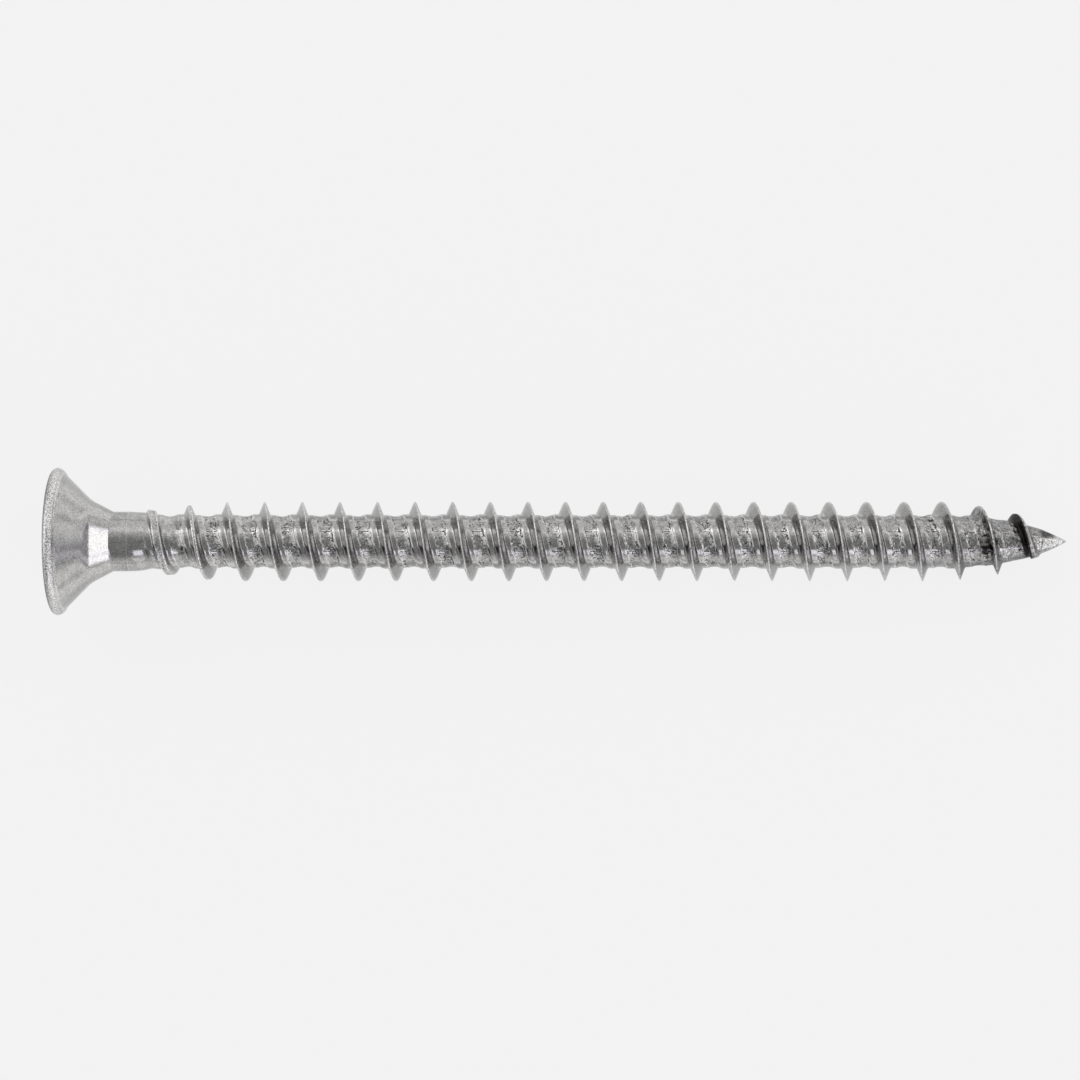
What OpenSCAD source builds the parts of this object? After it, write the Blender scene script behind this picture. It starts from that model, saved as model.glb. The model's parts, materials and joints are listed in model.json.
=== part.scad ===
// Chipboard screw, one solid piece of steel: a countersunk head with a cross recess, a tapered
// neck, a short plain shank and a coarse single-start thread that runs on to a gimlet point.
// The screw lies as it rests on a table: the rim of its head and one thread crest near the
// point touch the floor, z = 0. Its head is at -X and its point at +X.

/* [Overall] */
// Length from the flat of the head to the point
screw_length = 60; // [40:1:90]

/* [Head] */
// Diameter of the head across its rim
head_d = 8.74; // [8:0.02:10]
// Height of the straight band round the rim
rim_height = 0.29; // [0.2:0.01:0.6]
// Rounding of the edge between the flat of the head and the rim
rim_round = 0.14; // [0.02:0.01:0.18]
// Included angle of the countersunk seat
seat_angle = 90; // [80:1:100]
// Diameter where the seat runs into the neck
neck_d = 4.94; // [4.4:0.02:5.4]
// Included angle of the tapered neck
neck_angle = 57; // [45:1:75]
// Radius of the hollow curve between seat and neck
neck_round = 0.9; // [0.3:0.1:1.5]

/* [Cross recess] */
// Diameter across the wings at the flat of the head
recess_d = 4.5; // [3.8:0.1:5]
// Depth to the flat bottom of the wings
wing_depth = 2.1; // [1.5:0.1:2.3]
// Width of each wing
wing_w = 1.06; // [0.8:0.02:1.3]
// Slope of the wing ends from the screw's axis
wing_slope = 26.5; // [24:0.5:28]
// Diameter of the middle of the recess at the flat of the head
recess_core_d = 2.7; // [2.2:0.1:3.2]
// Slope of the wall round the middle of the recess
core_slope = 7; // [4:0.5:10]
// Depth of the pointed bottom below the wings
recess_point = 0.45; // [0.2:0.05:0.6]
// Width of the four short marks between the wings
mark_w = 0.2; // [0.15:0.01:0.3]
// Depth of the marks
mark_depth = 0.12; // [0.08:0.01:0.2]

/* [Shank] */
// Diameter of the plain shank
shank_d = 3.54; // [3.36:0.02:3.8]
// Length of the plain shank between neck and threaded length
shank_length = 0.95; // [0.5:0.01:10]

/* [Thread] */
// Diameter over the thread crests
thread_d = 4.8; // [4.5:0.02:5.2]
// Diameter of the core at the foot of the thread
core_d = 3.23; // [3:0.01:3.3]
// How far the core is hollowed out midway between two turns
core_hollow = 0.09; // [0:0.01:0.15]
// Advance of the thread in one turn
pitch = 2.228; // [1.8:0.001:2.8]
// Included angle of the thread profile
thread_angle = 40; // [30:1:45]
// Width of the flat along a full crest
crest_w = 0.07; // [0.04:0.01:0.12]
// Radius left at the foot of the thread by the rolling die
foot_round = 0.09; // [0.05:0.01:0.15]
// Angle round the screw, from the floor side, at which the threaded length begins
start_angle = 48; // [0:12:348]
// Length over which the thread grows to its full height
run_in = 5.8; // [3:0.1:8]
// Length over which the core narrows from the shank's diameter
core_blend = 2.5; // [1:0.1:4]

/* [Point] */
// Length of the tapered point, from the full core to the tip
point_length = 7.4; // [5:0.1:10]
// Length of the plain cone at the tip
tip_length = 1.6; // [1.2:0.1:2.2]
// Diameter of that cone where it meets the curved point
tip_d = 1.52; // [1.2:0.02:1.7]
// Height of the thread along the point
point_thread_h = 0.64; // [0.4:0.01:0.7]
// Length over which the thread fades out before the plain cone
run_out = 2; // [0.8:0.05:3]

/* [Facets] */
// Straight segments in each turn of the thread
turn_steps = 30; // [24:6:36]

/* [Hidden] */
STEEL = [0.74, 0.74, 0.73];
eps = 0.01;
round_steps = 6; // segments in each rounding of the turned outline
turned_fn = 96; // segments round the head and shank

head_r = head_d / 2;
shank_r = shank_d / 2;
core_r = core_d / 2;
neck_r = neck_d / 2;
tip_r = tip_d / 2;
flank_slope = tan(thread_angle / 2); // sideways run of a flank for each mm of height

// Places along the axis, measured from the flat of the head
seat_end = rim_height + (head_r - neck_r) / tan(seat_angle / 2);
neck_end = seat_end + (neck_r - shank_r) / tan(neck_angle / 2);
thread_zone = neck_end + shank_length; // the threaded length begins with a ring here
point_start = screw_length - point_length;

// Thread heights and widths
full_h = thread_d / 2 - core_r;
foot_h = 0.08; // height at which a flank turns into its foot rounding
min_land = 0.06; // a crest edge stays at least this far inside the foot line
half_foot = crest_w / 2 + full_h * flank_slope + foot_round + eps; // half the width of a full thread
crest_start = thread_zone + half_foot; // the crest rises from nothing here
crest_end = screw_length - tip_length; // and has faded to nothing here

// The thread is one strip that winds round the screw. Column i of the strip is at angle
// start_angle + i * 360 / turn_steps, and its right edge is the next turn's left edge.
// The strip opens from nothing at a ring at thread_zone and closes to nothing at a ring
// at zone_end, so both ends of the threaded length are flat rings.
step_advance = pitch / turn_steps;
open_steps = ceil((crest_end + half_foot - thread_zone) / step_advance); // steps before it closes
zone_end = thread_zone + open_steps * step_advance;
columns = open_steps + turn_steps;
lines = 7; // gaps between profile lines across one pitch
plug_depth = shank_length / 2; // how far the threaded length reaches into the shank
plug_inset = 0.3;
joint_step = 0.012; // fine step that the edge of the rolling die leaves on the shank

function clamp01(t) = min(1, max(0, t));
function smooth(t) = let (u = clamp01(t)) u * u * (3 - 2 * u);
function mix(a, b, t) = a + (b - a) * t;

// Radius of the curved point at distance d from the tip: a plain cone, then an arc that
// runs level into the core.
arc_run = point_length - tip_length;
arc_drop = core_r - tip_r;
arc_r = (arc_run * arc_run + arc_drop * arc_drop) / (2 * arc_drop);
function point_r(d) =
    d < tip_length ? tip_r * d / tip_length :
    d < point_length ? core_r - arc_r + sqrt(arc_r * arc_r - pow(point_length - d, 2)) :
    core_r;

// Radius of the body under the thread at place s
function body_r(s) =
    s > point_start ? point_r(screw_length - s) :
    mix(shank_r - joint_step, core_r, smooth((s - thread_zone) / core_blend));

// How far the body is hollowed between the turns at place s
function hollow(s) = core_hollow * smooth((s - thread_zone) / core_blend)
    * smooth((screw_length - tip_length - s) / (point_length / 2));

// Height of a complete thread whose crest is at place s, and the share of it that is filled.
// The thread rises fast at its ends and then evens out.
function rise(t) = 1 - pow(1 - clamp01(t), 1.6);
function whole_h(s) = mix(point_thread_h, full_h, smooth((point_start - s) / pitch + 1));
function filled(s) = min(rise((s - crest_start) / run_in), rise((crest_end - s) / run_out));

// Centre of the crest, and the strip's two edges, at column i
function crest_s(i) = thread_zone + step_advance * i - pitch / 2;
function left_s(i) = max(thread_zone, crest_s(i) - pitch / 2);
function right_s(i) = min(zone_end, crest_s(i) + pitch / 2);

// One profile of the thread: [distance from the crest's centre, height above the body]
function profile(i) =
    let (
        s = crest_s(i),
        whole = whole_h(s),
        h = whole * filled(s),
        foot = crest_w / 2 + whole * flank_slope,
        turn_in = min(foot_h, h / 2),
        crest = min(foot - h * flank_slope, foot - turn_in * flank_slope - min_land)
    ) [
        [-pitch / 2, 0],
        [-foot - foot_round, 0],
        [-foot + turn_in * flank_slope, turn_in],
        [-crest, h],
        [crest, h],
        [foot - turn_in * flank_slope, turn_in],
        [foot + foot_round, 0],
        [pitch / 2, 0]
    ];

// Places of the profile lines at column i. Where the strip is narrower than one pitch, the
// lines are drawn together towards the edge that follows the crest.
opening_w = pitch / 2 + half_foot;
function line_s(i, offset) =
    let (w = right_s(i) - left_s(i), squeeze = min(1, w / opening_w))
    i < turn_steps ? right_s(i) - (pitch / 2 - offset) * squeeze :
    i > open_steps ? left_s(i) + (pitch / 2 + offset) * squeeze :
    crest_s(i) + offset;
function line_point(i, j) =
    let (
        p = profile(i),
        s = j == 0 ? left_s(i) : j == lines ? right_s(i) : line_s(i, p[j][0]),
        edge = j == 0 || j == lines,
        r = body_r(s) + p[j][1] - (edge ? hollow(s) : 0),
        a = start_angle + i * 360 / turn_steps
    ) [r * cos(a), r * sin(a), s];

// Index of the point on line j of column i. Line 0 is the last line of the turn before, or
// the first ring, and the strip's two pinched ends are single points.
function point_index(i, j) =
    i == 0 ? 0 :
    i == columns ? point_index(open_steps, lines) :
    j == 0 && i < turn_steps ? i :
    j == 0 ? point_index(i - turn_steps, lines) :
    turn_steps + (i - 1) * lines + j - 1;

module threaded_length() {
    ring = [for (i = [0 : turn_steps - 1]) line_point(i, 0)];
    strip = [for (i = [1 : columns - 1], j = [1 : lines]) line_point(i, j)];
    plug = [for (p = ring)
        let (k = 1 - plug_inset / norm([p.x, p.y])) [p.x * k, p.y * k, thread_zone - plug_depth]];
    tip = [[0, 0, screw_length]];
    points = concat(ring, strip, plug, tip);
    plug_first = len(ring) + len(strip);
    tip_index = len(points) - 1;
    sides = [for (i = [0 : columns - 1], j = [0 : lines - 1])
        let (
            a = point_index(i, j),
            b = point_index(i + 1, j),
            c = point_index(i + 1, j + 1),
            d = point_index(i, j + 1)
        )
        each concat(
            a != b && b != c && c != a ? [[a, c, b]] : [],
            a != c && c != d && d != a ? [[a, d, c]] : [])];
    first_skirt = [for (i = [0 : turn_steps - 1])
        let (n = (i + 1) % turn_steps)
        each [[i, n, plug_first + i], [n, plug_first + n, plug_first + i]]];
    first_cap = [[for (i = [0 : turn_steps - 1]) plug_first + i]];
    tip_fan = [for (i = [open_steps : columns - 1])
        [point_index(i, lines), tip_index, point_index(i + 1, lines)]];
    polyhedron(points, concat(sides, first_skirt, first_cap, tip_fan), convexity = 10);
}

// A rounding between two straight runs of the turned outline, as a list of [radius, place]
function arc_points(centre, radius, from, to) =
    [for (k = [0 : round_steps]) let (a = mix(from, to, k / round_steps))
        centre + radius * [cos(a), sin(a)]];

// The hollow curve where the seat meets the neck touches both straight runs
seat_dir = 180 - (90 - seat_angle / 2);
neck_dir = 180 - (90 - neck_angle / 2);
neck_turn = abs(seat_dir - neck_dir);
neck_tangent = min(neck_round * tan(neck_turn / 2), (neck_end - seat_end) / 3);
neck_curve_r = neck_tangent / tan(neck_turn / 2);
seat_along = [-sin(seat_angle / 2), cos(seat_angle / 2)];
neck_centre = [neck_r, seat_end] - neck_tangent * seat_along
    + neck_curve_r * [cos(seat_angle / 2), sin(seat_angle / 2)];

module turned_outline() {
    polygon(concat(
        [[0, 0]],
        arc_points([head_r - rim_round, rim_round], rim_round, -90, 0),
        [[head_r, rim_height]],
        arc_points(neck_centre, neck_curve_r, 180 + seat_angle / 2, 180 + neck_angle / 2),
        [[shank_r, neck_end], [shank_r, thread_zone], [0, thread_zone]]));
}

module head_and_shank() {
    rotate_extrude($fn = turned_fn) turned_outline();
}

// The recess is pressed in by a punch: four wings with sloping ends round a tapered middle
// with a pointed bottom, and four short marks between the wings.
module cross_recess() {
    over = 0.2; // the punch starts this far outside the head
    wing_r = recess_d / 2;
    wing_run = tan(wing_slope);
    core_run = tan(core_slope);
    middle_r = recess_core_d / 2;
    bottom_r = middle_r - wing_depth * core_run;
    intersection() {
        translate([0, 0, -over])
            cylinder(h = wing_depth + over, r1 = wing_r + over * wing_run,
                r2 = wing_r - wing_depth * wing_run, $fn = turned_fn);
        for (a = [0, 90])
            rotate([0, 0, a])
                translate([-recess_d, -wing_w / 2, -2 * over])
                    cube([2 * recess_d, wing_w, wing_depth + 3 * over]);
    }
    translate([0, 0, -over])
        cylinder(h = wing_depth + over, r1 = middle_r + over * core_run, r2 = bottom_r, $fn = turned_fn);
    translate([0, 0, wing_depth - eps])
        cylinder(h = recess_point + eps, r1 = bottom_r + eps * core_run, r2 = bottom_r / 4, $fn = turned_fn);
    for (a = [45 : 90 : 315])
        rotate([0, 0, a])
            translate([middle_r - over, -mark_w / 2, -over])
                cube([wing_r - middle_r + over, mark_w, mark_depth + over]);
}

// The whole screw, with its axis along +Z and the flat of its head at the origin
module upright_screw() {
    difference() {
        head_and_shank();
        cross_recess();
    }
    threaded_length();
}

// The screw lies on the rim of its head and on the crest that touches the floor first as its
// point comes down: the one that leaves the smallest tilt. Line 4 is the crest's far edge.
function tilt_on(i) =
    let (edge = profile(i)[4], s = crest_s(i) + edge[0])
    atan((head_r - body_r(s) - edge[1]) / (s - rim_height));
floor_step = (360 - start_angle) * turn_steps / 360; // first column that faces the floor
tilt = min([for (i = [floor_step + turn_steps : turn_steps : open_steps]) tilt_on(i)]);
axis_z = head_r * cos(tilt) + rim_height * sin(tilt);
low_x = rim_round * cos(tilt) - (head_r - rim_round) * sin(tilt) - rim_round;
high_x = screw_length * cos(tilt);

module screw() {
    color(STEEL)
        translate([-(low_x + high_x) / 2, 0, axis_z])
            rotate([0, 90 + tilt, 0])
                upright_screw();
}

screw();
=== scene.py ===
import json
import math

import bpy
import numpy as np
from mathutils import Matrix, Vector


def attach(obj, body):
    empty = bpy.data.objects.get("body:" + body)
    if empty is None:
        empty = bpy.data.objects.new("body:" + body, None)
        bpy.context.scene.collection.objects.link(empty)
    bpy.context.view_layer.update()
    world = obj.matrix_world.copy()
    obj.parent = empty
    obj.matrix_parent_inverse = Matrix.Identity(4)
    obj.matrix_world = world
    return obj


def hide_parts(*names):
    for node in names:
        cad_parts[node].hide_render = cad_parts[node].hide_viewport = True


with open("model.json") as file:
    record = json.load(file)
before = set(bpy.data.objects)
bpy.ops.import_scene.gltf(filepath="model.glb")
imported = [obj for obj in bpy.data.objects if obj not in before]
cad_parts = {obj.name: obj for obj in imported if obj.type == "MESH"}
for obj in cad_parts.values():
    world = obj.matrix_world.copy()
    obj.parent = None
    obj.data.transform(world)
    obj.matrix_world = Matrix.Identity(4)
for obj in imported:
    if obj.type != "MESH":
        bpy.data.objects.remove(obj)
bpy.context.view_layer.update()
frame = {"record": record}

# How the screw lies: on the rim of its head and on a crest near its point, so that its axis
# goes down a little towards the point. The recess's mount gives the middle of the head's flat
# and the way out of the head.
MM = 0.001
mounts = {mount["name"]: mount for mount in frame["record"]["mounts"]}
head_middle = Vector(mounts["drive_recess"]["pos_m"])
forward = -Vector(mounts["drive_recess"]["axis"]).normalized()
sideways = Vector((0, 1, 0))
upwards = forward.cross(sideways)
# In the screw's own measure X points at the floor and Z along the screw, from the head's flat
lie = Matrix.Translation(head_middle) @ Matrix((-upwards, sideways, forward)).transposed().to_4x4()

# Head, neck and plain shank: upset and pressed from the wire, so they are round about the
# axis apart from the cross recess. The edges of the recess and of the rim are slightly
# rounded, as the punch and the tumbling leave them.
TURN_STEPS = 96  # points round the screw, and columns in each turn of the thread
HEAD_RADIUS = 4.37
RIM_HEIGHT = 0.29  # where the seat's line reaches the head's radius
RIM_ROUND = 0.12
RIM_BELLY = ((4.29, 0.075), (4.33, 0.13), (4.355, 0.19), (4.367, 0.25), (4.36, 0.31), (4.335, 0.38),
             (4.295, 0.45), (4.24, 0.52), (4.185, 0.57), (4.12, 0.605))
RIM_CORNER = 0.33  # how far down the seat the rim's rounding reaches
SEAT_TILT = math.radians(45)
NECK_RADIUS = 2.47  # where the seat's line meets the neck's line
NECK_TILT = math.radians(27.6)
NECK_CURVE = 2.0
SHANK_RADIUS = 1.77
THREAD_ZONE = 4.4292  # the rolled length begins here
ZONE_ANGLE = 48  # how far round from the floor side the rolled length begins, in degrees
PITCH = 2.228
WINDING_LEAD = 111  # the mesh of the thread starts on the plain shank, this much sooner
START_ANGLE = math.radians(ZONE_ANGLE - WINDING_LEAD)
WINDING_START = THREAD_ZONE - PITCH * WINDING_LEAD / 360
RECESS_RADIUS = 2.25
RECESS_DEPTH = 2.1
RECESS_POINT = 0.45
WING_HALF = 0.53
WING_SLOPE = math.tan(math.radians(26.5))
MIDDLE_RADIUS = 1.35
MIDDLE_SLOPE = math.tan(math.radians(7))
MOUTH_ROUND = 0.06
MARK_DEPTH = 0.12
MARK_ENDS = (1.4, 2.2)  # how far from the axis the marks between the wings reach
MARK_HALF = math.radians(1)  # half the width of a mark, as an angle round the axis
MARKED_RADIUS = 2.75  # the flat has close rings out to here, for the marks
FLAT_RINGS = (3.2, 3.7, 4.1)
NECK_LINE = (0.008, 0.05)  # the fine line at the foot of the neck: how high, how long
SHANK_RING = 3.62  # between that line and the start of the winding
RIM_WEAR = (0.1, 0.54)  # down the rim from the flat, where it is worn bright and carries a painted highlight
RIM_LINE = (0.59, 0.64)  # and a second bright line, a painted highlight where the rounding meets the seat

ring_angles = START_ANGLE + np.arange(TURN_STEPS) * 2 * math.pi / TURN_STEPS


def recess_edge(depth):
    """How far the recess's wall is from the axis at each point of a ring, at this depth."""
    from_wing = (ring_angles + math.pi / 4) % (math.pi / 2) - math.pi / 4
    wall = WING_HALF / np.maximum(np.abs(np.sin(from_wing)), 1e-6)
    wing = np.minimum(RECESS_RADIUS - depth * WING_SLOPE, wall)
    return np.maximum(MIDDLE_RADIUS - depth * MIDDLE_SLOPE, wing)


def curve(middle, radius, first, last, steps):
    """Points [radius, place] along an arc, from one angle to another, in degrees."""
    angles = np.radians(np.linspace(first, last, steps))
    return [(middle[0] + radius * math.cos(t), middle[1] + radius * math.sin(t)) for t in angles]


# From the bottom of the recess up its walls to the mouth
turned_rings = [(MIDDLE_RADIUS * 0.2, RECESS_DEPTH + RECESS_POINT * 0.97)]
bottom_radius = MIDDLE_RADIUS - RECESS_DEPTH * MIDDLE_SLOPE
for share in (0.4, 0.7, 0.97):
    turned_rings.append((bottom_radius * share, RECESS_DEPTH + RECESS_POINT * (1 - share)))
turned_rings += [(recess_edge(depth), depth) for depth in np.linspace(RECESS_DEPTH, MOUTH_ROUND, 10)]
for share in (0.3, 0.65, 1.0):
    out = MOUTH_ROUND * (1 - math.sqrt(1 - share * share))
    turned_rings.append((recess_edge(0) + out, MOUTH_ROUND * (1 - share)))
# Out over the flat, with the four short marks between the wings
mouth = recess_edge(0) + MOUTH_ROUND
to_mark = np.abs(ring_angles % (math.pi / 2) - math.pi / 4)
for share in np.linspace(0.06, 1, 12):
    radius = mouth + (MARKED_RADIUS - mouth) * share
    on_mark = (to_mark < MARK_HALF) & (radius > MARK_ENDS[0]) & (radius < MARK_ENDS[1])
    turned_rings.append((radius, MARK_DEPTH * on_mark))
turned_rings += [(radius, 0.0) for radius in FLAT_RINGS]
# Round the rim, which bellies a little, down the seat and the neck, and on to the shank
turned_rings += curve((RIM_BELLY[0][0] - RIM_ROUND, RIM_ROUND), RIM_ROUND, -90, -20, 5)
turned_rings += RIM_BELLY
seat_end = RIM_HEIGHT + (HEAD_RADIUS - NECK_RADIUS) / math.tan(SEAT_TILT)
neck_end = seat_end + (NECK_RADIUS - SHANK_RADIUS) / math.tan(NECK_TILT)
bend_run = NECK_CURVE * math.tan((SEAT_TILT - NECK_TILT) / 2)
seat_run = np.array((-math.sin(SEAT_TILT), math.cos(SEAT_TILT)))
bend_middle = np.array((NECK_RADIUS, seat_end)) - bend_run * seat_run
bend_middle += NECK_CURVE * np.array((math.cos(SEAT_TILT), math.sin(SEAT_TILT)))
bend = curve(bend_middle, NECK_CURVE, 180 + math.degrees(SEAT_TILT), 180 + math.degrees(NECK_TILT), 9)
seat_top = np.array((HEAD_RADIUS - RIM_CORNER, RIM_HEIGHT + RIM_CORNER))
turned_rings += [tuple(seat_top + (bend[0] - seat_top) * share) for share in np.linspace(0, 0.95, 14)]
turned_rings += bend
neck_foot = np.array((SHANK_RADIUS, neck_end))
turned_rings += [tuple(bend[-1] + (neck_foot - bend[-1]) * share) for share in (0.25, 0.5, 0.75, 0.93, 0.985)]
turned_rings += [(SHANK_RADIUS + NECK_LINE[0], neck_end), (SHANK_RADIUS, neck_end + NECK_LINE[1])]
turned_rings += [(SHANK_RADIUS, place) for place in (SHANK_RING, WINDING_START)]

# The very tip is turned too: the rings beyond the end of the thread's winding
SCREW_LENGTH = 60.0
TIP_LENGTH = 1.6
TIP_RADIUS = 0.76
TIP_BULGE = 0.85  # under 1, the tip's sides swell a little and its end is blunt
crest_end = SCREW_LENGTH - TIP_LENGTH
step_advance = PITCH / TURN_STEPS
open_steps = math.ceil((crest_end + PITCH / 2 - WINDING_START) / step_advance)
winding_end = WINDING_START + open_steps * step_advance


def tip_ring(place):
    """Radius and place of a ring of the tip."""
    return (TIP_RADIUS * ((SCREW_LENGTH - place) / TIP_LENGTH) ** TIP_BULGE, place)


tip_places = winding_end + (SCREW_LENGTH - winding_end) * np.array((0, 0.3, 0.55, 0.75, 0.9, 0.97))
tip_rings = [tip_ring(place) for place in tip_places]


def ring_points(rings):
    """The points of these rings, one ring after another."""
    rows = []
    for radius, place in rings:
        x, y = radius * np.cos(ring_angles), radius * np.sin(ring_angles)
        rows.append(np.stack([x, y, np.broadcast_to(place, x.shape)], axis=1))
    return np.concatenate(rows)


def ring_faces(first, rings):
    """Faces between the rings that start at this vertex."""
    faces = []
    for row in range(rings - 1):
        for step in range(TURN_STEPS):
            here = first + row * TURN_STEPS + step
            beside = first + row * TURN_STEPS + (step + 1) % TURN_STEPS
            faces.append((here, beside, beside + TURN_STEPS, here + TURN_STEPS))
    return faces


turned_points = np.concatenate([
    ring_points(turned_rings), ring_points(tip_rings),
    [(0, 0, RECESS_DEPTH + RECESS_POINT), (0, 0, SCREW_LENGTH)]])
tip_first = len(turned_rings) * TURN_STEPS
recess_pole = tip_first + len(tip_rings) * TURN_STEPS
faces = ring_faces(0, len(turned_rings)) + ring_faces(tip_first, len(tip_rings))
last_ring = recess_pole - TURN_STEPS
for step in range(TURN_STEPS):
    beside = (step + 1) % TURN_STEPS
    faces.append((beside, step, recess_pole))
    faces.append((last_ring + step, last_ring + beside, recess_pole + 1))
turned = bpy.data.meshes.new("screw")
turned.from_pydata((turned_points * MM).tolist(), [], faces)
# What the finish reads on every face. In coil: turns round the screw, distance from the
# crest and place along the screw, in millimetres. In form: whether it is an edge that is worn
# bright and carries a painted highlight, the flat top of a low crest, or a flank of the thread,
# which carries painted shade. The strip also has laps: how far past the crest the two lapped
# edges are.
corner_points = turned_points[[loop.vertex_index for loop in turned.loops]]
places = corner_points[:, 2]
on_rim = (places > RIM_WEAR[0]) & (places < RIM_WEAR[1])
rim_line = (places > RIM_LINE[0]) & (places < RIM_LINE[1])
outside = np.hypot(corner_points[:, 0], corner_points[:, 1]) > HEAD_RADIUS - RIM_CORNER - 0.01
coil = turned.attributes.new("coil", "FLOAT_VECTOR", "CORNER")
coil_numbers = np.stack([places * 0, places * 0 + PITCH / 2, places], axis=1)
coil.data.foreach_set("vector", coil_numbers.ravel())
form = turned.attributes.new("form", "FLOAT_VECTOR", "CORNER")
form_numbers = np.stack([(on_rim | rim_line) & outside, on_rim & outside, places * 0], axis=1)
form.data.foreach_set("vector", form_numbers.ravel())


# The rolled thread: two flat dies press it up out of the wire in one pass. Its crest is
# sharp and its foot is filleted, and midway between two turns, where the metal from both
# sides met, there is a rough band with a lapped edge on either side.
class Socket:
    """Wraps an output socket, so that Python's arithmetic adds Math nodes to its tree."""

    def __init__(self, tree, output):
        self.tree = tree
        self.output = output

    def add(self, kind, settings, values, out=0):
        """A node in the same tree: its settings first, then its sockets' values or links."""
        made = self.tree.nodes.new(kind)
        for name, setting in settings.items():
            setattr(made, name, setting)
        for name, value in values.items():
            if isinstance(value, Socket):
                self.tree.links.new(value.output, made.inputs[name])
            else:
                made.inputs[name].default_value = value
        return Socket(self.tree, made.outputs[out])

    def math(self, operation, *values):
        """A Math node whose first value is this socket."""
        return self.add("ShaderNodeMath", {"operation": operation}, dict(enumerate((self, *values))))

    def __add__(self, other):
        return self.math("ADD", other)

    def __sub__(self, other):
        return self.math("SUBTRACT", other)

    def __rsub__(self, other):
        return self.math("MULTIPLY_ADD", -1.0, other)

    def __mul__(self, other):
        return self.math("MULTIPLY", other)

    def __truediv__(self, other):
        return self.math("DIVIDE", other)

    def __pow__(self, other):
        return self.math("POWER", other)

    def __mod__(self, other):
        return self.math("FLOORED_MODULO", other)

    def __abs__(self):
        return self.math("ABSOLUTE")

    __radd__ = __add__
    __rmul__ = __mul__

    def least(self, other):
        return self.math("MINIMUM", other)

    def most(self, other):
        return self.math("MAXIMUM", other)

    def smooth(self, low, high):
        """0 at low and 1 at high, and a soft slope between."""
        span = {0: self, 1: low, 2: high}
        return self.add("ShaderNodeMapRange", {"interpolation_type": "SMOOTHSTEP"}, span)

    def between(self, low, high, edge):
        """1 from low to high, and 0 further than the edge outside them."""
        return self.smooth(low - edge, low) * (1 - self.smooth(high, high + edge))

    def noise(self, vector, scale, detail=2.0, roughness=0.5):
        """Noise about 0, from about -0.5 to 0.5."""
        values = {"Vector": vector, "Scale": scale, "Detail": detail, "Roughness": roughness}
        return self.add("ShaderNodeTexNoise", {"noise_dimensions": "3D"}, values, "Fac") - 0.5


STRIP_LINES = 36  # gaps between the strip's lines across one pitch
LINE_CROWDING = 1.35  # over 1, the lines crowd towards the crest
TURN_LENGTH = 10.1  # round the core, in millimetres
LAP_LEFT = 0.68  # from a crest to the first lapped edge beyond it, in millimetres
LAP_RIGHT = 1.44  # and to the second
LAP_WANDER = 0.32  # how far the lapped edges wander, from one side to the other
DIE_MARKS = 8  # short marks along the screw that the dies leave, in each turn
CREST_EASE = 1.6  # over 1, the crest rises and fades fast where it is low
CREST_ROUND = 0.02  # and where the crest is lower than this, the ridge fades out
LOW_CREST = 0.15  # a crest lower than this, in millimetres, is marked less by wear
WELD_GAP = 2e-7  # points of the strip and the rings closer than this are one, in metres

thread_sizes = {
    "Pitch": PITCH,
    "Winding start": WINDING_START,
    "Winding end": winding_end,
    "Start angle": START_ANGLE,
    "Rolled start": THREAD_ZONE,
    "Shank radius": SHANK_RADIUS,
    "Core radius": 1.615,
    "Core blend": 2.5,
    "Core hollow": 0.055,
    "Core lip": 0.045,
    "Crest radius": 2.4,
    "Crest half width": 0.03,
    "Flank slope": math.tan(math.radians(20)),
    "Foot fillet": 0.16,
    "Crest start": THREAD_ZONE + 0.43,
    "Run in": 5.8,
    "Run out": 2.0,
    "Length": SCREW_LENGTH,
    "Point length": 7.4,
    "Point thread": 0.64,
    "Tip length": TIP_LENGTH,
    "Tip radius": TIP_RADIUS,
    "Tip bulge": TIP_BULGE,
    "Lap depth": 0.025,
    "Roughness": 0.055,
}
rolling = bpy.data.node_groups.new("Rolled thread", "GeometryNodeTree")
rolling.interface.new_socket("Geometry", in_out="INPUT", socket_type="NodeSocketGeometry")
rolling.interface.new_socket("Geometry", in_out="OUTPUT", socket_type="NodeSocketGeometry")
size_sockets = {
    name: rolling.interface.new_socket(name, in_out="INPUT", socket_type="NodeSocketFloat")
    for name in thread_sizes}
given = rolling.nodes.new("NodeGroupInput")
size = {name: Socket(rolling, given.outputs[name]) for name in thread_sizes}
pitch, length = size["Pitch"], size["Length"]

# The thread is one strip of faces that winds round the core, from a ring on the shank to a
# ring near the tip. Each point has a column along the winding and a line across the pitch.
index = pitch.add("GeometryNodeInputIndex", {}, {})
column = (index / (STRIP_LINES + 1)).math("FLOOR")
line = index - column * (STRIP_LINES + 1)
share = line * (2 / STRIP_LINES) - 1
offset = share.math("SIGN") * (abs(share) ** LINE_CROWDING) * pitch * 0.5
crest_place = size["Winding start"] + pitch * (column / TURN_STEPS - 0.5)
left = (crest_place - pitch * 0.5).most(size["Winding start"])
right = (crest_place + pitch * 0.5).least(size["Winding end"])
place = left + (right - left) * (offset / pitch + 0.5)
across = place - crest_place
angle = size["Start angle"] + column * (2 * math.pi / TURN_STEPS)

# The core: from the shank's radius to its own, then the curved point and the tip's cone
core = size["Core radius"]
to_tip = length - place
arc_run = size["Point length"] - size["Tip length"]
arc_drop = core - size["Tip radius"]
arc_radius = (arc_run * arc_run + arc_drop * arc_drop) / (arc_drop * 2)
into_point = (size["Point length"] - to_tip).most(0)
arc = (arc_radius * arc_radius - into_point * into_point).math("SQRT") - arc_radius
cone = size["Tip radius"] * ((to_tip.most(0) / size["Tip length"]) ** size["Tip bulge"])
rolled = place.smooth(size["Rolled start"], size["Rolled start"] + size["Core blend"])
body = size["Shank radius"] + (core - size["Shank radius"]) * rolled
body = (body + arc).least(cone)

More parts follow.
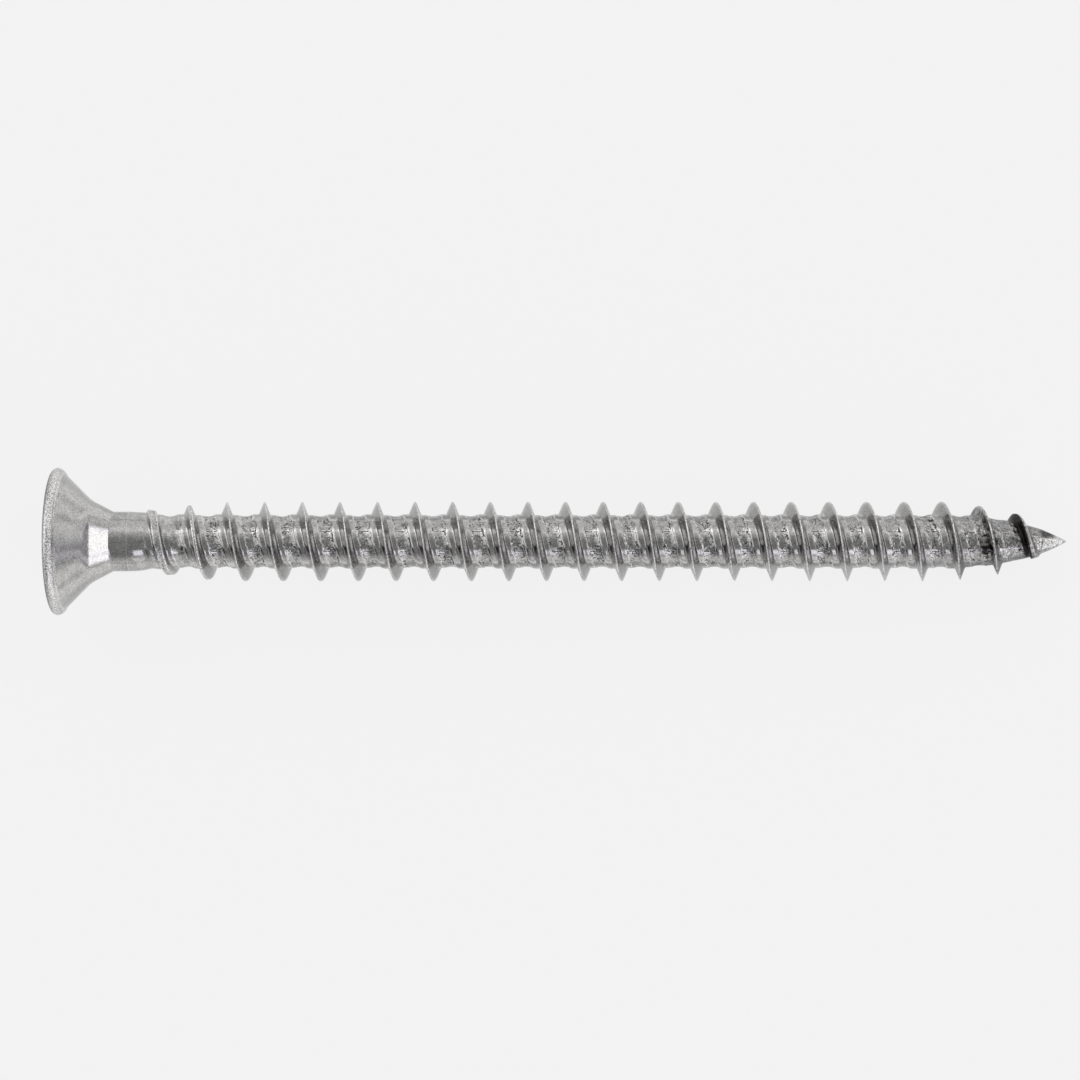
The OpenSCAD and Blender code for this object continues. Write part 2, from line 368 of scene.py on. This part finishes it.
# The thread's height over the core at its crest, and across its flanks
crest_to_tip = length - crest_place
full_height = size["Crest radius"] - core
into_last_turn = crest_to_tip.smooth(size["Point length"] - pitch, size["Point length"])
whole = size["Point thread"] + (full_height - size["Point thread"]) * into_last_turn
risen = 1 - (1 - ((crest_place - size["Crest start"]) / size["Run in"]).least(1).most(0)) ** CREST_EASE
faded = 1 - (1 - ((crest_to_tip - size["Tip length"]) / size["Run out"]).least(1).most(0)) ** CREST_EASE
crest_height = whole * risen.least(faded)
foot = size["Crest half width"] + whole * size["Flank slope"]
sides = (foot - abs(across)) / size["Flank slope"]
ridge = sides.math("SMOOTH_MIN", crest_height, CREST_ROUND).math("SMOOTH_MAX", 0, size["Foot fillet"])
ridge = ridge.most(0) * (crest_height / CREST_ROUND).least(1)

# Midway between two turns: hollowed, with the rough band and its two lapped edges, and
# a low lip on the side of the next turn
turns = column / TURN_STEPS
along = (turns - across.math("LESS_THAN", 0.0)) * TURN_LENGTH
past = across % pitch
laps = []
for seed, edge in ((3.7, LAP_LEFT), (8.3, LAP_RIGHT)):
    lap_spot = pitch.add("ShaderNodeCombineXYZ", {}, {0: along, 1: seed})
    laps.append(pitch.noise(lap_spot, 1.7, 3, 0.6) * LAP_WANDER + edge)
lap_left, lap_right = laps
in_thread = rolled * to_tip.smooth(size["Tip length"], size["Point length"])
hollow = size["Core hollow"] * past.between(1.0, 1.12, 0.34)
lip = size["Core lip"] * (1 - past.between(1.6, 1.95, 0.27))
band = (past - lap_left).smooth(-0.02, 0.05) * (1 - (past - lap_right).smooth(-0.05, 0.02))
unrolled = pitch.add("ShaderNodeCombineXYZ", {}, {0: along, 1: past})
lumps = pitch.noise(unrolled, 2.6, 3, 0.65) * size["Roughness"]
relief = (hollow + lip + (size["Lap depth"] - lumps) * band) * in_thread

# What the finish reads: the crest's edges, its flat top where it is low, and its flanks
flat_half = foot - crest_height * size["Flank slope"]
raised = (crest_height / LOW_CREST).least(1)
from_edge = abs(across) - flat_half
edge = from_edge.between(-0.04, 0.012, 0.03) * raised
top = (1 - from_edge.smooth(-0.06, -0.03)) * raised
flank = from_edge.smooth(0.0, 0.05) * (1 - abs(across).smooth(foot, foot + 0.08)) * raised

# Nicks in the crest, and then the point's position
crest_spot = pitch.add("ShaderNodeCombineXYZ", {}, {0: along, 1: across})
nick = (pitch.noise(crest_spot, 6.5, 1) * 0.06 - 0.01) * edge * (crest_height / full_height)
radius = body - relief + ridge + nick.least(0)
position = pitch.add("ShaderNodeCombineXYZ", {}, {
    0: angle.math("COSINE") * radius * MM, 1: angle.math("SINE") * radius * MM, 2: place * MM})
coil_marks = pitch.add("ShaderNodeCombineXYZ", {}, {0: turns, 1: across, 2: place})
form_marks = pitch.add("ShaderNodeCombineXYZ", {}, {0: edge, 1: top, 2: flank})
lap_marks = pitch.add("ShaderNodeCombineXYZ", {}, {0: lap_left, 1: lap_right})

grid = pitch.add("GeometryNodeMeshGrid", {}, {
    "Vertices X": open_steps + TURN_STEPS + 1, "Vertices Y": STRIP_LINES + 1}, "Mesh")
strip = pitch.add("GeometryNodeSetPosition", {}, {"Geometry": grid, "Position": position})
for name, value in (("coil", coil_marks), ("form", form_marks), ("laps", lap_marks)):
    at_points = pitch.add("GeometryNodeFieldOnDomain", {
        "data_type": "FLOAT_VECTOR", "domain": "POINT"}, {0: value})
    strip = pitch.add("GeometryNodeStoreNamedAttribute", {
        "data_type": "FLOAT_VECTOR", "domain": "CORNER"}, {
            "Geometry": strip, "Name": name, "Value": at_points})
both = rolling.nodes.new("GeometryNodeJoinGeometry")
rolling.links.new(given.outputs["Geometry"], both.inputs[0])
rolling.links.new(strip.output, both.inputs[0])
whole_screw = pitch.add("GeometryNodeMergeByDistance", {}, {
    "Geometry": Socket(rolling, both.outputs[0]), "Distance": WELD_GAP})
whole_screw = pitch.add("GeometryNodeSetShadeSmooth", {}, {"Geometry": whole_screw})
whole_screw = pitch.add("GeometryNodeRealizeInstances", {}, {"Geometry": whole_screw})

steel = bpy.data.materials.new("rolled_steel")
whole_screw = pitch.add("GeometryNodeSetMaterial", {}, {"Geometry": whole_screw, "Material": steel})
result = rolling.nodes.new("NodeGroupOutput")
rolling.links.new(whole_screw.output, result.inputs[0])

blank = bpy.data.objects.new("screw_blank", turned)
bpy.context.scene.collection.objects.link(blank)
rolls = blank.modifiers.new("Rolled thread", "NODES")
rolls.node_group = rolling
for name, value in thread_sizes.items():
    rolls[size_sockets[name].identifier] = float(value)
evaluated = blank.evaluated_get(bpy.context.evaluated_depsgraph_get())
screw_mesh = bpy.data.meshes.new_from_object(evaluated)
blank.modifiers.remove(rolls)
bpy.data.objects.remove(blank)
screw_mesh.transform(lie)
screw_mesh.name = "steel_screw"
screw_piece = bpy.data.objects.new("steel_screw", screw_mesh)
bpy.context.scene.collection.objects.link(screw_piece)
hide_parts("screw")
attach(screw_piece, "root")

# The steel's finish: bright, tumbled and thinly plated, so it is a clean grey metal with a
# fine speckle. It is glossy where the dies rolled it, and rough in the band between two
# turns, with short marks and cracks. Crests and rim are worn bright and carry a painted
# highlight, the flanks carry painted shade, and the last turn is black.
DARK_METAL = (0.012, 0.010, 0.009, 1)
PALE_METAL = (1.0, 0.990, 0.980, 1)
TURNED_LINE = 4.52  # this and the next places are along the screw from the head's flat
BAND_STARTS = (THREAD_ZONE + 1.5, THREAD_ZONE + 5)
BAND_ENDS = (55, 58)
DARKENS = (49, 57)  # towards the point the metal gets darker and more torn
SPLIT = 54.62
BLACK_FLANK = (56.5, 58.2)
TIP_STARTS = (58.0, 59.2)
# Pits near the point: from and to along the screw, and from right to left of its axis
PITS = ((55.63, 55.76, -0.22, 0.2), (51.3, 51.66, 1.42, 1.62), (51.7, 52.0, 1.2, 1.27),
        (54.8, 55.1, 0.27, 0.42), (54.8, 55.12, -0.72, -0.3), (55.08, 55.18, -1.0, 0.2))

steel.use_nodes = True
nodes = steel.node_tree.nodes
shader = nodes["Principled BSDF"]
shader.inputs["Metallic"].default_value = 1.0
start = Socket(steel.node_tree, nodes.new("ShaderNodeTexCoord").outputs["Object"])
in_mm = start.add("ShaderNodeVectorMath", {"operation": "SCALE"}, {0: start, "Scale": 1 / MM})


def marks(name):
    """The three numbers that the mesh holds under this name."""
    held = start.add("ShaderNodeAttribute", {"attribute_name": name}, {}, "Vector")
    return [start.add("ShaderNodeSeparateXYZ", {}, {0: held}, axis) for axis in "XYZ"]


turns, across, place = marks("coil")
edge, top, flank = marks("form")
lap_left, lap_right, _ = marks("laps")
along = (turns - across.math("LESS_THAN", 0.0)) * TURN_LENGTH
past = across % PITCH
in_thread = place.smooth(*BAND_STARTS) * (1 - place.smooth(*BAND_ENDS))
band = (past - lap_left).smooth(-0.03, 0.02) * (1 - (past - lap_right).smooth(-0.02, 0.03)) * in_thread
late = place.smooth(*DARKENS)
unrolled = start.add("ShaderNodeCombineXYZ", {}, {0: along, 1: past})
crumple = start.noise(unrolled, 6.0, 2, 0.7)
seam = start.noise(unrolled, 2.7, 2, 0.6)
speckle = start.noise(in_mm, 11.0, 2, 0.8)
mottle = start.noise(in_mm, 1.9, 2, 0.6)

# Cracks in the band, and metal torn along its second lapped edge, painted dark as the shade inside them
crack = 1 - abs(seam + crumple * 0.15).smooth(0.006, 0.03)
crack = crack * (mottle + late * 0.04).smooth(-0.02, 0.02)
crack = crack * band.most(late * 0.8 * place.smooth(60, 57.5))
torn = 1 - abs(past - lap_right + 0.06 + seam * 0.12).smooth(0.01, 0.035)
crack = crack.most(torn * mottle.smooth(0.02, 0.06) * in_thread)

# Short marks of the dies, painted dark as the shade in them, with a painted highlight beside them
die_turn = abs((turns * DIE_MARKS + (math.degrees(START_ANGLE) / 360 * DIE_MARKS - 0.5)) % 1 - 0.5)
on_die = past.between(0.8, 1.3, 0.06) * band * (crumple * 2 + mottle).smooth(-0.12, 0.02)
die_mark = die_turn.smooth(0.47, 0.49) * on_die
die_edge = die_turn.between(0.435, 0.455, 0.012) * on_die

# Bright where it was rubbed: the lapped edges, chips in the band and the turned line. The lapped edges are
# lighter still as a painted glint, and the die marks' painted highlight joins them.
lap_edge = 1 - abs(past - lap_left).smooth(0.015, 0.065)
lap_edge = lap_edge.most(1 - abs(past - lap_right).smooth(0.015, 0.065))
lap_edge = (lap_edge * in_thread * (1.0 + mottle * 3)).most(die_edge * 0.8)
chip = crumple.smooth(0.16, 0.22) * band
turned_line = (1 - abs(place - TURNED_LINE).smooth(0.0, 0.05)) * 0.35

# Near-black beside the last crests, on the last flank, and at pits and a split
near_black = across.between(-0.75, -0.1, 0.1) * late * place.smooth(58.6, 58.2)
near_black = near_black * (seam + crumple + late * 0.2 - 0.24).smooth(0.0, 0.06)
last_flank = across.between(-0.46, -0.07, 0.04) * place.between(*BLACK_FLANK, 0.2)
near_black = near_black.most(last_flank * (crumple * 1.5 + 1.1).least(1))
ragged = place + crumple * 0.4 + speckle * 0.5
leftward = start.add("ShaderNodeSeparateXYZ", {}, {0: in_mm}, "Y") + seam * 0.4
for low, high, right, left in PITS:
    near_black = near_black.most(ragged.between(low, high, 0.03) * leftward.between(right, left, 0.05))
split = 1 - abs(ragged + leftward * 0.45 - SPLIT).smooth(0.02, 0.06)
near_black = near_black.most(split * leftward.between(-0.5, 0.4, 0.1))

# The tip is scuffed with bright and dark specks; its right side is lighter as a painted highlight, and short
# of its end its left side carries painted shade
short_of_end = 1 - place.smooth(59, 59.5)
tip = place.smooth(*TIP_STARTS) * (1 - leftward.smooth(0.05, 0.3) * short_of_end)
tip_shade_and_specks = place.smooth(58.2, 58.6) * leftward.smooth(0.1, 0.35) * short_of_end
tip_shade_and_specks = tip_shade_and_specks.most(place.smooth(57.8, 58.8) * (mottle * -5 + speckle * -5 - 0.3))

# Lighter: crest edges and rim, worn bright and carrying a painted highlight, the lapped edges with a painted
# glint, chips, the tip's painted highlight and the turned line
bright = edge * (0.78 + speckle * (6 + top))
bright = bright.most(lap_edge).most(chip).most(tip * (0.8 + mottle * 3 + speckle * 4))
bright = bright.most(turned_line).least(1)
# Darker: cracks and die marks, painted dark as the shade in them, the flanks as painted shade, the tip's
# painted shade and specks, and the near-black patches
dark = (crack * 0.9).most(die_mark * 0.85).most(flank * 0.27).most(tip_shade_and_specks * 0.7).most(near_black * 0.97)
tone = 0.54 + speckle * (1.0 - band * 0.3 + top * 0.8 + late * 0.4)
tone = tone + mottle * (0.35 + late * 0.5) - late * 0.06
tone = ((tone + (1 - tone) * bright) * (1 - dark)).most(0).least(1)
shade = start.add("ShaderNodeMix", {"data_type": "RGBA"}, {
    "Factor": tone, "A": DARK_METAL, "B": PALE_METAL}, 2)
steel.node_tree.links.new(shade.output, shader.inputs["Base Color"])
gloss = 0.13 + mottle * 0.1 + speckle * 0.12 + bright * 0.12
steel.node_tree.links.new(gloss.output, shader.inputs["Roughness"])
# Heights in millimetres: the grain, and the tip's slight swelling towards its end
grain = speckle * (0.0015 + band * 0.004 + top * 0.02 + edge * 0.015 + tip * 0.006)
grain = grain + crumple * (0.004 + band * 0.014) + mottle * tip * 0.06
swell = (place - crest_end).most(0) * 0.13
depth = grain + swell + seam * band * 0.05 - band * 0.025 - (crack + die_mark) * 0.02
bump = start.add("ShaderNodeBump", {}, {"Strength": 1.0, "Distance": MM, "Height": depth}, "Normal")
steel.node_tree.links.new(bump.output, shader.inputs["Normal"])

# The floor: a plain pale board, wide enough to fill every view. The camera sees it evenly
# lit. The metal sees it with painted shade far away, beside the thread and behind the head,
# and a painted glow beside the head, under the thread and wide of the screw, in spite of the
# screw's own shadow.
FLOOR_COLOUR = (0.888, 0.888, 0.888, 1)
DIM_COLOUR = (0.55, 0.55, 0.55, 1)
FLOOR_REACH = 1.5
FLOOR_GLOW = 1.045
CAMERA_GLOW = 0.9  # the share of the floor's own glow in what the camera sees
METAL_GLOW = 0.9  # and in what the metal sees, where the floor is lit for it
floor_mesh = bpy.data.meshes.new("floor")
floor_corners = [(x * FLOOR_REACH, y * FLOOR_REACH, 0) for x, y in ((-1, -1), (1, -1), (1, 1), (-1, 1))]
floor_mesh.from_pydata(floor_corners, [], [(0, 1, 2, 3)])
floor = bpy.data.objects.new("floor", floor_mesh)
bpy.context.scene.collection.objects.link(floor)
floor_paint = bpy.data.materials.new("floor_paint")
floor_paint.use_nodes = True
paint_nodes = floor_paint.node_tree.nodes
paint = paint_nodes["Principled BSDF"]
paint.inputs["Roughness"].default_value = 1.0
paint.inputs["Specular IOR Level"].default_value = 0.0
ground = Socket(floor_paint.node_tree, paint_nodes.new("ShaderNodeTexCoord").outputs["Object"])
from_middle = ground.add("ShaderNodeVectorMath", {"operation": "LENGTH"}, {0: ground}, "Value")
towards_point = ground.add("ShaderNodeSeparateXYZ", {}, {0: ground}, "X")
off_axis = abs(ground.add("ShaderNodeSeparateXYZ", {}, {0: ground}, "Y"))
camera_ray = ground.add("ShaderNodeLightPath", {}, {}, "Is Camera Ray")
metal_ray = ground.add("ShaderNodeLightPath", {}, {}, "Is Glossy Ray")

# Where the metal sees it dim with painted shade, in metres from the middle of the screw
beside_thread = off_axis.between(0.007, 0.0115, 0.002) * towards_point.smooth(-0.022, -0.017) * 0.3
behind_head = off_axis.smooth(0.004, 0.008) * towards_point.smooth(-0.032, -0.037) * 0.7
dim = from_middle.smooth(0.05, 0.11).most(beside_thread).most(behind_head)
board = ground.add("ShaderNodeMix", {"data_type": "RGBA"}, {
    "Factor": dim * (1 - camera_ray), "A": FLOOR_COLOUR, "B": DIM_COLOUR}, 2)
floor_paint.node_tree.links.new(board.output, paint.inputs["Base Color"])
glow = ground.add("ShaderNodeEmission", {}, {"Color": board, "Strength": FLOOR_GLOW}, "Emission")

# Where the metal sees it lit by a painted glow
past_neck = towards_point.smooth(-0.0265, -0.0235)
by_head = 0.45 + off_axis.smooth(0.0055, 0.0075) * (0.05 + past_neck * 0.55)
by_head = by_head * towards_point.smooth(-0.033, -0.03) * (1 - towards_point.smooth(-0.021, -0.013))
beyond = off_axis.smooth(0.012, 0.018) * (0.5 + past_neck * 0.5) * towards_point.smooth(-0.045, -0.036)
under = (1 - off_axis.smooth(0.004, 0.006)) * (1 - towards_point.smooth(0.022, 0.025)) * 0.62
glowing = camera_ray * CAMERA_GLOW + by_head.most(beyond).most(under) * METAL_GLOW * metal_ray
lit = Socket(floor_paint.node_tree, paint.outputs["BSDF"])
both_ways = ground.add("ShaderNodeMixShader", {}, {0: glowing, 1: lit, 2: glow})
floor_paint.node_tree.links.new(both_ways.output, paint_nodes["Material Output"].inputs["Surface"])
floor_mesh.materials.append(floor_paint)

# Light: a plain pale studio, dark overhead, so that the metal shows a dark band towards the
# camera between bright strips on either side. A lamp stands beyond either end, and dim walls
# behind the head and beyond the point give those ends their greys.
DEGREES = 180 / math.pi
STUDIO_LIGHT = 0.71
LEAST_LIGHT = 0.05  # of the dim parts
BACKDROP_LIGHT = 0.86  # what the camera sees of the studio
LAMP_TINT = (0.97, 0.94, 1.04, 1)
world = bpy.data.worlds.new("studio")
bpy.context.scene.world = world
world.use_nodes = True
sky = world.node_tree.nodes["Background"]
direction = Socket(world.node_tree, world.node_tree.nodes.new("ShaderNodeTexCoord").outputs["Generated"])
to_point, to_far, up = (direction.add("ShaderNodeSeparateXYZ", {}, {0: direction}, axis) for axis in "XYZ")
# Directions in degrees: from straight up towards the far side, from straight up towards the
# point, and round from the point towards the far side
sidewise = to_far.math("ARCTAN2", up) * DEGREES
lengthwise = to_point.math("ARCTAN2", up) * DEGREES
bearing = to_far.math("ARCTAN2", to_point) * DEGREES
# The lean that a surface needs to show this direction to someone straight above
lean = (to_point / ((up + 1) * 2).math("SQRT")).math("ARCSINE") * DEGREES

# What is dim: the ceiling, the walls, and a patch towards either end of the far side
at_point = bearing.between(-50, 40, 9)
behind = 1 - to_point.smooth(-0.32, -0.22)
ceiling = sidewise.smooth(-98, -48) * (1 - sidewise.smooth(-2, 50)) * lengthwise.between(-60, 41, 9)
point_wall = 0.33 - lengthwise.smooth(68, 78) * bearing.smooth(-12, 14) * 0.42
point_wall = point_wall * lengthwise.smooth(50, 55) * at_point
head_wall = behind * sidewise.between(-100, -34, 8)
far_wall = behind * sidewise.between(74, 115, 6)
patches = abs(lengthwise).between(51, 61, 5) * sidewise.between(56, 76, 6)
light = STUDIO_LIGHT - ceiling * 0.47 - point_wall - head_wall * 0.2 - far_wall * 0.25

# What is bright: the strips and the lamps
far_strip = sidewise.between(42, 50, 8) * lengthwise.between(-40, 40, 15)
near_strip = sidewise.between(-54, -40, 7) * lengthwise.between(8, 42, 6)
low_strip = sidewise.between(-80, -66, 7) * lengthwise.smooth(-9, -2)
slope_lamp = lengthwise.between(-48, -20, 6) * sidewise.between(40, 56, 6)
point_lamp = lean.between(22.3, 25.0, 0.8) * at_point
head_lamp = lengthwise.between(-62, -17, 5) * (1 - lengthwise.smooth(-48, -43) * 0.5)
head_lamp = head_lamp * sidewise.between(-28, 46, 9)
light = light.most(LEAST_LIGHT) + far_strip * 0.15 + near_strip * 1.1 + low_strip * 0.3
light = light + slope_lamp * 0.4 + point_lamp * 1.38 + head_lamp * 0.95 - patches * 0.45
seen_straight = direction.add("ShaderNodeLightPath", {}, {}, "Is Camera Ray")
light = light * (1 - seen_straight) + seen_straight * BACKDROP_LIGHT
world.node_tree.links.new(light.output, sky.inputs["Strength"])
tint = direction.add("ShaderNodeMix", {"data_type": "RGBA"}, {
    "Factor": near_strip.most(point_wall * 1.5), "A": (1, 1, 1, 1), "B": LAMP_TINT}, 2)
world.node_tree.links.new(tint.output, sky.inputs["Color"])

# The camera: straight above the screw and square to its axis, as in the photograph, and as
# near as the look of the head's rim says.
FRAME_PX = 1080
HEAD_PX = 54.07  # the flat of the head, from the frame's left edge
AXIS_PX = 541.5  # the screw's axis, from the frame's top edge
PX_PER_MM = 16.87
CAMERA_DISTANCE = 166.0
view = bpy.data.cameras.new("camera")
view.sensor_width = 36
view.lens = view.sensor_width * CAMERA_DISTANCE * PX_PER_MM / FRAME_PX
view.clip_start = 0.005
camera = bpy.data.objects.new("camera", view)
from_flat = (FRAME_PX / 2 - HEAD_PX) / PX_PER_MM * MM
off_screw = (AXIS_PX - FRAME_PX / 2) / PX_PER_MM * MM
stand = head_middle + forward * from_flat + sideways * off_screw + upwards * CAMERA_DISTANCE * MM
camera.matrix_world = Matrix.Translation(stand) @ Matrix((forward, sideways, upwards)).transposed().to_4x4()
bpy.context.scene.collection.objects.link(camera)
bpy.context.scene.camera = camera

bpy.context.scene.view_settings.view_transform = "Standard"
